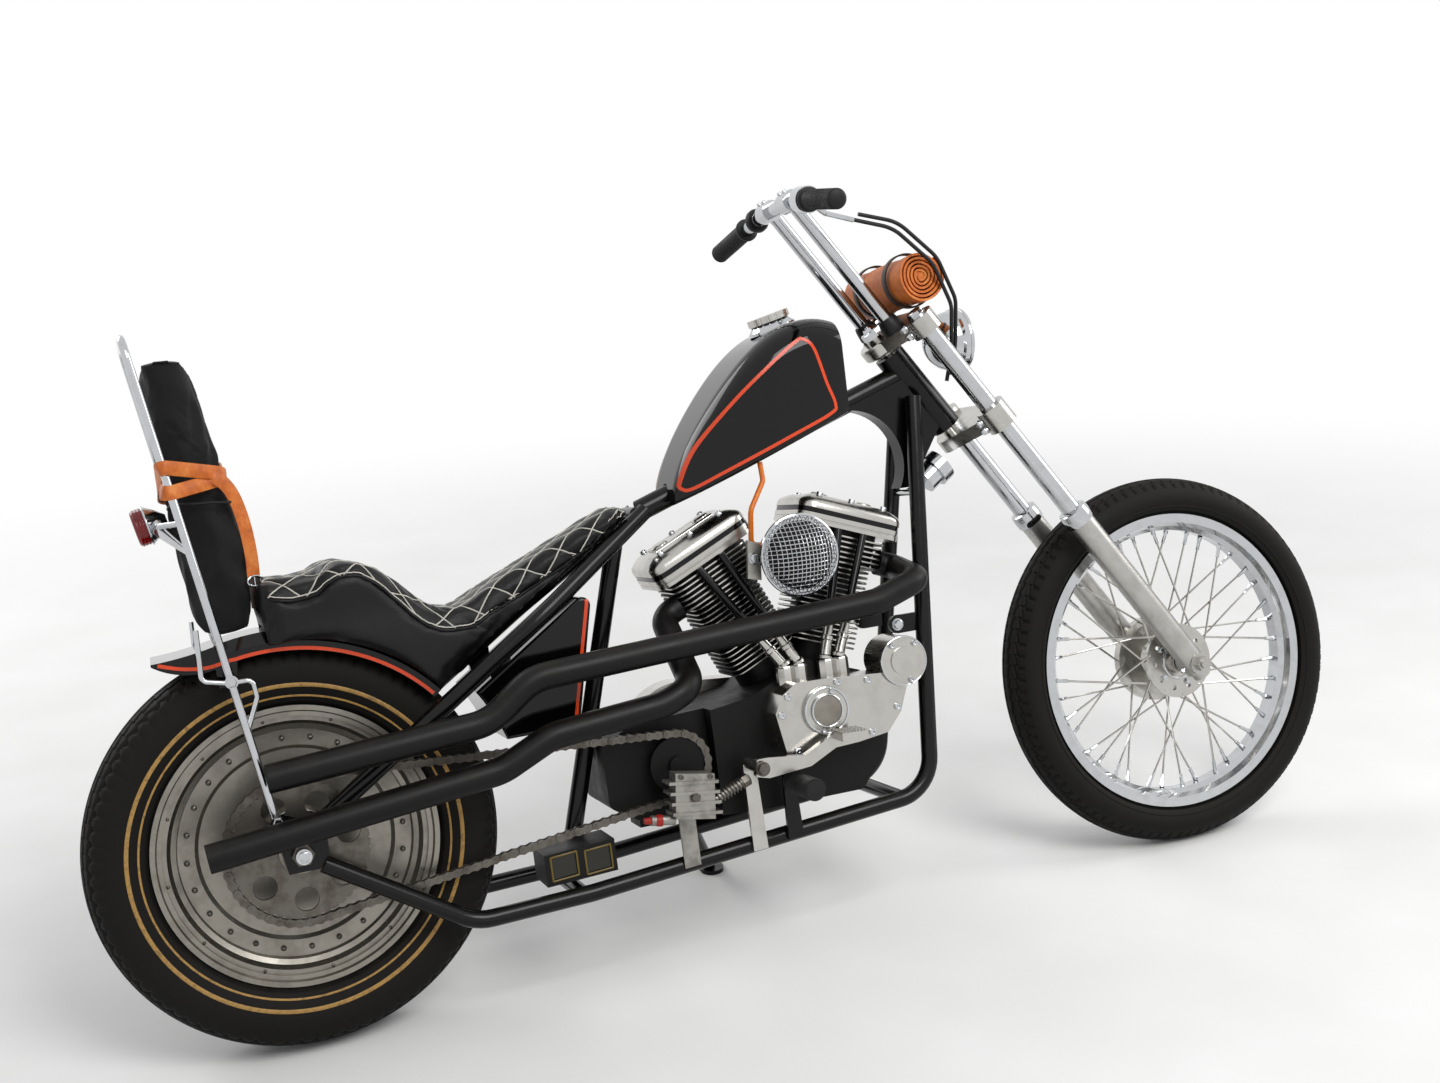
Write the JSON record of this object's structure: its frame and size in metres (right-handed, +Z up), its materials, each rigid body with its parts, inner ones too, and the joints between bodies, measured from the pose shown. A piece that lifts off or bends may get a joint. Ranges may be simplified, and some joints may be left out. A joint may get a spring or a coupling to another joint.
{
  "type": "chopper motorcycle",
  "caption": "Rigid-frame chopper with an air-cooled V-twin, long raked fork, stepped seat, tall rod sissy bar and swept exhausts, leaning on its side stand.",
  "frame": {"origin": "middle of the footprint of the machine's bounding box, on the ground", "axes": "+X forward along the machine, +Y to the rider's left, +Z up; the machine leans twelve degrees to +Y on its stand"},
  "size_m": [2.3158, 0.7312, 1.2805],
  "materials": {
    "tyre_rubber": "ribbed road tread with raised sidewall lines, matt and a little dusty",
    "black_paint": "gloss black paint with thin orange-red lines",
    "chrome": "bright chrome plate",
    "polished_alloy": "hand-polished cast aluminium",
    "cast_alloy": "sand-cast aluminium, dull and greyed",
    "dark_alloy": "blackened cast aluminium, brushed edges",
    "iron": "black-painted cast iron fins with bright worn edges",
    "exhaust_black": "matt heat-proof black",
    "seat_vinyl": "black vinyl with pale diamond stitching on its top bands",
    "tan_leather": "waxed orange-tan leather",
    "bag_cloth": "black woven nylon",
    "red_lens": "clear red moulded plastic",
    "lamp_glass": "clear fluted glass",
    "grip_rubber": "black moulded rubber",
    "hose_black": "black outer sheath",
    "hose_orange": "orange fuel hose",
    "bare_steel": "machined steel, lightly oiled"
  },
  "bodies": {
    "frame": {"drive_chain": "bare_steel", "rear_axle": "bare_steel", "frame_cradle": "black_paint", "frame_stays": "black_paint", "tank": "black_paint", "tank_cap": "polished_alloy", "oil_tank": "black_paint", "rear_fender": "black_paint", "seat": "seat_vinyl", "sissy_bar": "chrome", "tail_light": "chrome", "tail_lens": "red_lens", "bag_roll": "bag_cloth", "bag_strap": "tan_leather", "crankcase": "cast_alloy", "cylinders": "iron", "rocker_boxes": "polished_alloy", "cam_cover": "polished_alloy", "primary_cover": "polished_alloy", "pushrod_tubes": "chrome", "air_cleaner": "chrome", "carburettor": "cast_alloy", "exhaust_front": "exhaust_black", "exhaust_rear": "exhaust_black", "brake_pedal": "chrome", "foot_pegs": "grip_rubber", "shift_lever": "chrome", "master_cylinder": "cast_alloy", "electrics_box": "dark_alloy", "rear_caliper": "cast_alloy", "fuel_line": "hose_orange", "horn": "chrome"},
    "front_end": {"fork_trees": "polished_alloy", "fork_tubes": "chrome", "fork_sliders": "cast_alloy", "handlebar": "chrome", "grips": "grip_rubber", "bar_controls": "chrome", "headlight_shell": "chrome", "headlight_lens": "lamp_glass", "tool_roll": "tan_leather", "control_cables": "hose_black"},
    "front_wheel": {"front_tyre": "tyre_rubber", "front_rim": "chrome", "front_hub": "chrome"},
    "rear_wheel": {"rear_tyre": "tyre_rubber", "rear_wheel_disc": "polished_alloy", "rear_sprocket": "bare_steel", "rear_brake_disc": "bare_steel"},
    "side_stand": {"side_stand": "black_paint"}
  },
  "joints": [
    {"name": "steering", "type": "hinge", "parent": "frame", "child": "front_end", "pos_m": [0.35858, 0.01262, 0.89802], "axis": [-0.5664, 0.1713, 0.8061], "range_deg": [-30, 30]},
    {"name": "front_wheel_spin", "type": "hinge", "parent": "front_end", "child": "front_wheel", "pos_m": [0.811, -0.10589, 0.34048], "axis": [0, 0.9781, -0.2079], "continuous": true},
    {"name": "rear_wheel_spin", "type": "hinge", "parent": "frame", "child": "rear_wheel", "pos_m": [-0.834, -0.11045, 0.31902], "axis": [0, 0.9781, -0.2079], "continuous": true},
    {"name": "side_stand_swing", "type": "hinge", "parent": "frame", "child": "side_stand", "pos_m": [-0.134, 0.00171, 0.1541], "axis": [0.1076, 0.7528, 0.6494], "range_deg": [0, 107.7]}
  ]
}
